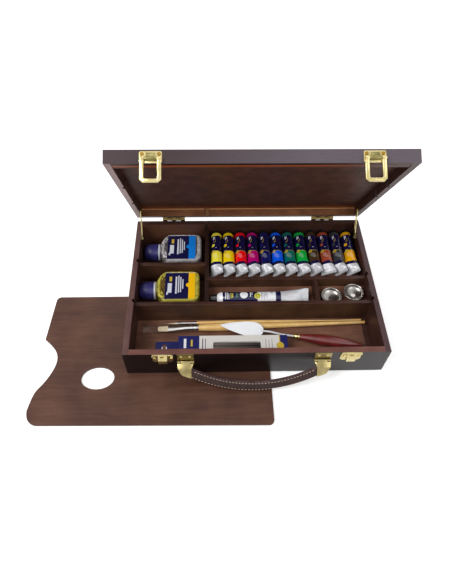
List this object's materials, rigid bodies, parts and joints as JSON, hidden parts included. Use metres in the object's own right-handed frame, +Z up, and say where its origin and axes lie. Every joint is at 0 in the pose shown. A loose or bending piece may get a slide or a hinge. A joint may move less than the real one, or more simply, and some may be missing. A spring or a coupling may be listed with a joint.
{
  "type": "oil paint case",
  "caption": "Dark wooden artist's case lying open on its palette, with divided bays holding oil paint tubes, bottles, dippers, brushes, palette knife and charcoal.",
  "frame": {"origin": "on the underside of the palette, straight below the middle of the case", "axes": "+X to the right along the hinge line, +Y to the back where the lid is hinged, +Z up"},
  "size_m": [0.544, 0.3835, 0.3106],
  "materials": {
    "case_wood": "dark walnut stain, satin",
    "panel_wood": "dark stain, satin",
    "palette_wood": "dark stain, gloss",
    "brass": "polished",
    "leather": "stitched",
    "tube_metal": "satin, printed bands",
    "black_plastic": "ribbed",
    "navy_plastic": "moulded",
    "clear_glass": "clear",
    "amber_glass": "clear, filled with yellow oil",
    "bright_steel": "polished",
    "ferrule_metal": "bright",
    "pale_wood": "clear varnish",
    "bristle": "natural bristle",
    "clear_plastic": "clear",
    "red_wood": "clear varnish",
    "printed_card": "printed card"
  },
  "bodies": {
    "case": {"base_front_board": "case_wood", "base_back_board": "case_wood", "base_left_board": "case_wood", "base_right_board": "case_wood", "base_bottom_panel": "panel_wood", "long_divider": "case_wood", "upright_divider": "case_wood", "bottle_divider": "case_wood", "tray_divider": "case_wood", "dipper_divider": "case_wood", "raised_floors": "panel_wood", "base_hinge_leaves": "brass", "latch_catches": "brass", "handle_plates": "brass", "base_screws": "brass"},
    "lid": {"lid_front_board": "case_wood", "lid_back_board": "case_wood", "lid_left_board": "case_wood", "lid_right_board": "case_wood", "lid_panel": "panel_wood", "lid_hinge_leaves": "brass", "latch_plates": "brass", "lid_screws": "brass"},
    "stay_left": {"lid_stay_left": "brass"},
    "stay_right": {"lid_stay_right": "brass"},
    "loop_left": {"latch_loop_left": "brass"},
    "loop_right": {"latch_loop_right": "brass"},
    "handle": {"handle_grip": "leather", "handle_clasps": "brass"},
    "palette": {"palette": "palette_wood"},
    "large_tube": {"large_tube": "tube_metal"},
    "large_tube_cap": {"large_tube_cap": "black_plastic"},
    "clear_bottle": {"clear_bottle": "clear_glass"},
    "clear_bottle_cap": {"clear_bottle_cap": "navy_plastic"},
    "oil_bottle": {"oil_bottle": "amber_glass"},
    "oil_bottle_cap": {"oil_bottle_cap": "navy_plastic"},
    "dipper_left": {"dipper_left": "bright_steel"},
    "dipper_right": {"dipper_right": "bright_steel"},
    "round_brush": {"round_brush_handle": "pale_wood", "round_brush_ferrule": "ferrule_metal", "round_brush_bristles": "bristle"},
    "flat_brush": {"flat_brush_handle": "pale_wood", "flat_brush_ferrule": "ferrule_metal", "flat_brush_bristles": "bristle", "flat_brush_sleeve": "clear_plastic"},
    "palette_knife": {"knife_blade": "bright_steel", "knife_handle": "red_wood"},
    "charcoal_carton": {"charcoal_carton": "printed_card"},
    "paint_tube_01": {"paint_tube_01": "tube_metal"},
    "paint_tube_02": {"paint_tube_02": "tube_metal"},
    "paint_tube_03": {"paint_tube_03": "tube_metal"},
    "paint_tube_04": {"paint_tube_04": "tube_metal"},
    "paint_tube_05": {"paint_tube_05": "tube_metal"},
    "paint_tube_06": {"paint_tube_06": "tube_metal"},
    "paint_tube_07": {"paint_tube_07": "tube_metal"},
    "paint_tube_08": {"paint_tube_08": "tube_metal"},
    "paint_tube_09": {"paint_tube_09": "tube_metal"},
    "paint_tube_10": {"paint_tube_10": "tube_metal"},
    "paint_tube_11": {"paint_tube_11": "tube_metal"},
    "paint_tube_12": {"paint_tube_12": "tube_metal"}
  },
  "joints": [
    {"name": "lid_hinge", "type": "hinge", "parent": "case", "child": "lid", "pos_m": [0, 0.1429, 0.0612], "axis": [-1, 0, 0], "range_deg": [-58.8, 0]},
    {"name": "lid_stay_left_pivot", "type": "hinge", "parent": "lid", "child": "stay_left", "pos_m": [-0.19, 0.13042, 0.09339], "axis": [1, 0, 0], "range_deg": [-44.2, 0]},
    {"name": "lid_stay_right_pivot", "type": "hinge", "parent": "lid", "child": "stay_right", "pos_m": [0.19, 0.13042, 0.09339], "axis": [1, 0, 0], "range_deg": [-44.2, 0]},
    {"name": "latch_loop_left_swing", "type": "hinge", "parent": "lid", "child": "loop_left", "pos_m": [-0.1405, 0.00191, 0.30713], "axis": [-1, 0, 0], "range_deg": [0, 150]},
    {"name": "latch_loop_right_swing", "type": "hinge", "parent": "lid", "child": "loop_right", "pos_m": [0.1405, 0.00191, 0.30713], "axis": [-1, 0, 0], "range_deg": [0, 150]},
    {"name": "handle_swing", "type": "hinge", "parent": "case", "child": "handle", "pos_m": [-0.004, -0.14, 0.044], "axis": [-1, 0, 0], "range_deg": [0, 105]},
    {"name": "palette_slide", "type": "slide", "parent": "case", "child": "palette", "axis": [0, -1, 0], "range_m": [0, 0.16]},
    {"name": "paint_tube_01_lift", "type": "slide", "parent": "case", "child": "paint_tube_01", "axis": [0, 0, 1], "range_m": [0, 0.055]},
    {"name": "paint_tube_02_lift", "type": "slide", "parent": "case", "child": "paint_tube_02", "axis": [0, 0, 1], "range_m": [0, 0.055]},
    {"name": "paint_tube_03_lift", "type": "slide", "parent": "case", "child": "paint_tube_03", "axis": [0, 0, 1], "range_m": [0, 0.055]},
    {"name": "paint_tube_04_lift", "type": "slide", "parent": "case", "child": "paint_tube_04", "axis": [0, 0, 1], "range_m": [0, 0.055]},
    {"name": "paint_tube_05_lift", "type": "slide", "parent": "case", "child": "paint_tube_05", "axis": [0, 0, 1], "range_m": [0, 0.055]},
    {"name": "paint_tube_06_lift", "type": "slide", "parent": "case", "child": "paint_tube_06", "axis": [0, 0, 1], "range_m": [0, 0.055]},
    {"name": "paint_tube_07_lift", "type": "slide", "parent": "case", "child": "paint_tube_07", "axis": [0, 0, 1], "range_m": [0, 0.055]},
    {"name": "paint_tube_08_lift", "type": "slide", "parent": "case", "child": "paint_tube_08", "axis": [0, 0, 1], "range_m": [0, 0.055]},
    {"name": "paint_tube_09_lift", "type": "slide", "parent": "case", "child": "paint_tube_09", "axis": [0, 0, 1], "range_m": [0, 0.055]},
    {"name": "paint_tube_10_lift", "type": "slide", "parent": "case", "child": "paint_tube_10", "axis": [0, 0, 1], "range_m": [0, 0.055]},
    {"name": "paint_tube_11_lift", "type": "slide", "parent": "case", "child": "paint_tube_11", "axis": [0, 0, 1], "range_m": [0, 0.055]},
    {"name": "paint_tube_12_lift", "type": "slide", "parent": "case", "child": "paint_tube_12", "axis": [0, 0, 1], "range_m": [0, 0.055]},
    {"name": "large_tube_lift", "type": "slide", "parent": "case", "child": "large_tube", "axis": [0, 0, 1], "range_m": [0, 0.055]},
    {"name": "clear_bottle_lift", "type": "slide", "parent": "case", "child": "clear_bottle", "axis": [0, 0, 1], "range_m": [0, 0.055]},
    {"name": "oil_bottle_lift", "type": "slide", "parent": "case", "child": "oil_bottle", "axis": [0, 0, 1], "range_m": [0, 0.055]},
    {"name": "dipper_left_lift", "type": "slide", "parent": "case", "child": "dipper_left", "axis": [0, 0, 1], "range_m": [0, 0.055]},
    {"name": "dipper_right_lift", "type": "slide", "parent": "case", "child": "dipper_right", "axis": [0, 0, 1], "range_m": [0, 0.055]},
    {"name": "round_brush_lift", "type": "slide", "parent": "case", "child": "round_brush", "axis": [0, 0, 1], "range_m": [0, 0.055]},
    {"name": "flat_brush_lift", "type": "slide", "parent": "case", "child": "flat_brush", "axis": [0, 0, 1], "range_m": [0, 0.055]},
    {"name": "charcoal_carton_lift", "type": "slide", "parent": "case", "child": "charcoal_carton", "axis": [0, 0, 1], "range_m": [0, 0.055]},
    {"name": "palette_knife_lift", "type": "slide", "parent": "flat_brush", "child": "palette_knife", "axis": [0, 0, 1], "range_m": [0, 0.055]},
    {"name": "clear_bottle_cap_turn", "type": "hinge", "parent": "clear_bottle", "child": "clear_bottle_cap", "pos_m": [-0.17, 0.0946, 0.0243], "axis": [1, 0, 0], "continuous": true},
    {"name": "oil_bottle_cap_turn", "type": "hinge", "parent": "oil_bottle", "child": "oil_bottle_cap", "pos_m": [-0.17, 0.0082, 0.0243], "axis": [1, 0, 0], "continuous": true},
    {"name": "large_tube_cap_turn", "type": "hinge", "parent": "large_tube", "child": "large_tube_cap", "pos_m": [-0.062, -0.0225, 0.0431], "axis": [1, 0, 0], "continuous": true}
  ],
  "couplings": [
    {"joint": "lid_stay_left_pivot", "follows": "lid_hinge", "ratio": 0.75031},
    {"joint": "lid_stay_right_pivot", "follows": "lid_hinge", "ratio": 0.75031}
  ]
}
